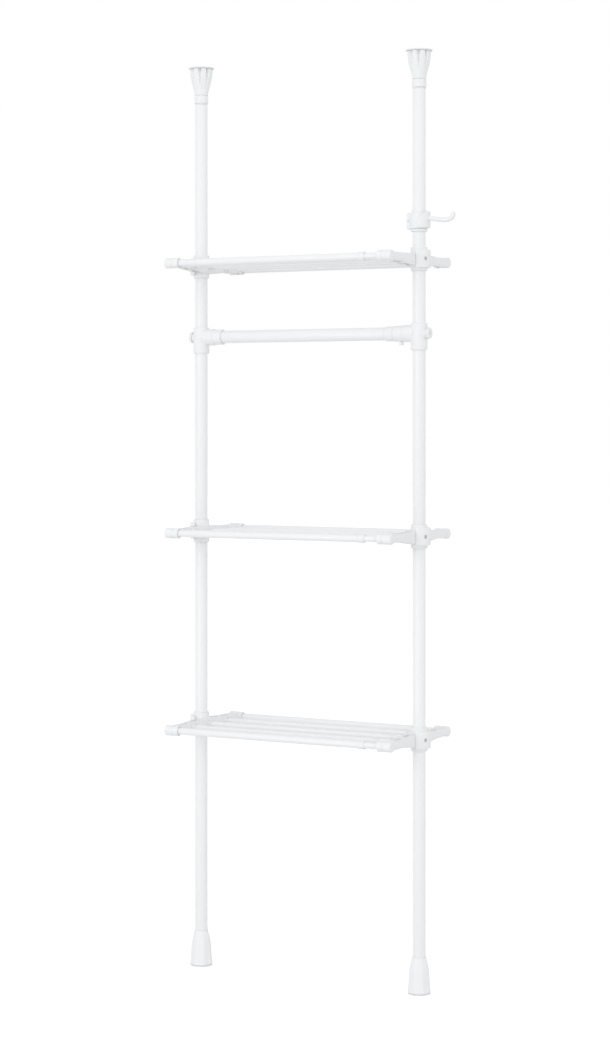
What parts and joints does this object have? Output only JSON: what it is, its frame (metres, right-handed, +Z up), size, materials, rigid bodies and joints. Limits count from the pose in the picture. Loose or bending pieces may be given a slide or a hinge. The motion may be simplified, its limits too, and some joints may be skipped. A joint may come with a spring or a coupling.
{
  "type": "tension pole shelf unit",
  "caption": "White floor-to-ceiling tension pole rack with telescoping pipe shelves, a hanging bar and a swivel hook, shown at its narrowest width.",
  "frame": {"origin": "centre of the underside of the left foot's pad, on the floor", "axes": "+Z up along the poles, +X from the left pole to the right pole, the front towards -Y"},
  "size_m": [0.7495, 0.342, 2.3],
  "materials": {
    "painted_steel": "gloss white powder coat on steel tube",
    "white_plastic": "white moulded plastic with a fine satin grain",
    "pale_rubber": "pale grey soft rubber",
    "zinc_steel": "dull zinc plate"
  },
  "bodies": {
    "left_pole": {"pole_lower_left": "painted_steel", "pole_upper_left": "painted_steel", "pole_spigot_left": "zinc_steel", "foot_left": "white_plastic", "foot_pad_left": "pale_rubber", "jack_socket_left": "white_plastic"},
    "left_ring": {"adjuster_ring_left": "white_plastic"},
    "left_cap": {"ceiling_cap_left": "white_plastic", "ceiling_pad_left": "pale_rubber"},
    "right_pole": {"pole_lower_right": "painted_steel", "pole_upper_right": "painted_steel", "pole_spigot_right": "zinc_steel", "foot_right": "white_plastic", "foot_pad_right": "pale_rubber", "jack_socket_right": "white_plastic"},
    "right_ring": {"adjuster_ring_right": "white_plastic"},
    "right_cap": {"ceiling_cap_right": "white_plastic", "ceiling_pad_right": "pale_rubber"},
    "top_shelf_left": {"top_shelf_arm_left": "white_plastic", "top_shelf_clamp_left": "white_plastic", "top_shelf_screw_left": "zinc_steel", "top_shelf_outer_pipes": "painted_steel", "top_shelf_sleeve_front": "white_plastic", "top_shelf_sleeve_back": "white_plastic"},
    "top_shelf_right": {"top_shelf_arm_right": "white_plastic", "top_shelf_clamp_right": "white_plastic", "top_shelf_screw_right": "zinc_steel", "top_shelf_inner_pipes": "painted_steel"},
    "middle_shelf_left": {"middle_shelf_arm_left": "white_plastic", "middle_shelf_clamp_left": "white_plastic", "middle_shelf_screw_left": "zinc_steel", "middle_shelf_outer_pipes": "painted_steel", "middle_shelf_sleeve_front": "white_plastic", "middle_shelf_sleeve_back": "white_plastic"},
    "middle_shelf_right": {"middle_shelf_arm_right": "white_plastic", "middle_shelf_clamp_right": "white_plastic", "middle_shelf_screw_right": "zinc_steel", "middle_shelf_inner_pipes": "painted_steel"},
    "bottom_shelf_left": {"bottom_shelf_arm_left": "white_plastic", "bottom_shelf_clamp_left": "white_plastic", "bottom_shelf_screw_left": "zinc_steel", "bottom_shelf_outer_pipes": "painted_steel", "bottom_shelf_sleeve_front": "white_plastic", "bottom_shelf_sleeve_back": "white_plastic"},
    "bottom_shelf_right": {"bottom_shelf_arm_right": "white_plastic", "bottom_shelf_clamp_right": "white_plastic", "bottom_shelf_screw_right": "zinc_steel", "bottom_shelf_inner_pipes": "painted_steel"},
    "bar_left": {"bar_joint_left": "white_plastic", "bar_outer_tube": "painted_steel", "bar_sleeve": "white_plastic"},
    "bar_right": {"bar_joint_right": "white_plastic", "bar_inner_tube": "painted_steel"},
    "left_knob": {"bar_knob_left": "white_plastic"},
    "right_knob": {"bar_knob_right": "white_plastic"},
    "thumb_screw": {"bar_thumb_screw": "white_plastic"},
    "hook_slider": {"hook_liner": "white_plastic"},
    "hook": {"hook_clamp": "white_plastic", "hook_arm": "white_plastic", "hook_screw": "zinc_steel"}
  },
  "joints": [
    {"name": "width_slide", "type": "slide", "parent": "left_pole", "child": "right_pole", "axis": [1, 0, 0], "range_m": [0, 0.25]},
    {"name": "left_jack_rise", "type": "slide", "parent": "left_pole", "child": "left_cap", "axis": [0, 0, 1], "range_m": [0, 0.04]},
    {"name": "left_ring_turn", "type": "hinge", "parent": "left_pole", "child": "left_ring", "pos_m": [0, 0, 2.2184], "axis": [0, 0, 1], "range_deg": [-1, 3601]},
    {"name": "right_jack_rise", "type": "slide", "parent": "right_pole", "child": "right_cap", "axis": [0, 0, 1], "range_m": [0, 0.04]},
    {"name": "right_ring_turn", "type": "hinge", "parent": "right_pole", "child": "right_ring", "pos_m": [0.62, 0, 2.2184], "axis": [0, 0, 1], "range_deg": [-1, 3601]},
    {"name": "top_shelf_height", "type": "slide", "parent": "left_pole", "child": "top_shelf_left", "axis": [0, 0, 1], "range_m": [-0.06, 0.02]},
    {"name": "top_shelf_height_right", "type": "slide", "parent": "right_pole", "child": "top_shelf_right", "axis": [0, 0, 1], "range_m": [-0.0605, 0.0205]},
    {"name": "middle_shelf_height", "type": "slide", "parent": "left_pole", "child": "middle_shelf_left", "axis": [0, 0, 1], "range_m": [-0.2, 0.2]},
    {"name": "middle_shelf_height_right", "type": "slide", "parent": "right_pole", "child": "middle_shelf_right", "axis": [0, 0, 1], "range_m": [-0.2005, 0.2005]},
    {"name": "bottom_shelf_height", "type": "slide", "parent": "left_pole", "child": "bottom_shelf_left", "axis": [0, 0, 1], "range_m": [-0.48, 0.2]},
    {"name": "bottom_shelf_height_right", "type": "slide", "parent": "right_pole", "child": "bottom_shelf_right", "axis": [0, 0, 1], "range_m": [-0.4805, 0.2005]},
    {"name": "bar_height", "type": "slide", "parent": "left_pole", "child": "bar_left", "axis": [0, 0, 1], "range_m": [-0.2, 0.06]},
    {"name": "bar_height_right", "type": "slide", "parent": "right_pole", "child": "bar_right", "axis": [0, 0, 1], "range_m": [-0.2005, 0.0605]},
    {"name": "left_knob_turn", "type": "hinge", "parent": "bar_left", "child": "left_knob", "pos_m": [-0.0268, 0, 1.609], "axis": [1, 0, 0], "range_deg": [0, 720]},
    {"name": "right_knob_turn", "type": "hinge", "parent": "bar_right", "child": "right_knob", "pos_m": [0.6468, 0, 1.609], "axis": [-1, 0, 0], "range_deg": [0, 720]},
    {"name": "thumb_screw_turn", "type": "hinge", "parent": "bar_right", "child": "thumb_screw", "pos_m": [0.572, 0, 1.585], "axis": [0, 0, 1], "range_deg": [0, 720]},
    {"name": "hook_height", "type": "slide", "parent": "right_pole", "child": "hook_slider", "axis": [0, 0, 1], "range_m": [-0.015, 0.26]},
    {"name": "hook_swivel", "type": "hinge", "parent": "hook_slider", "child": "hook", "pos_m": [0.62, 0, 1.883], "axis": [0, 0, 1], "range_deg": [-180, 180]}
  ],
  "couplings": [
    {"joint": "left_ring_turn", "follows": "left_jack_rise", "rad_per_m": 1570.8},
    {"joint": "right_ring_turn", "follows": "right_jack_rise", "rad_per_m": 1570.8},
    {"joint": "top_shelf_height_right", "follows": "top_shelf_height", "ratio": 1},
    {"joint": "middle_shelf_height_right", "follows": "middle_shelf_height", "ratio": 1},
    {"joint": "bottom_shelf_height_right", "follows": "bottom_shelf_height", "ratio": 1},
    {"joint": "bar_height_right", "follows": "bar_height", "ratio": 1}
  ]
}
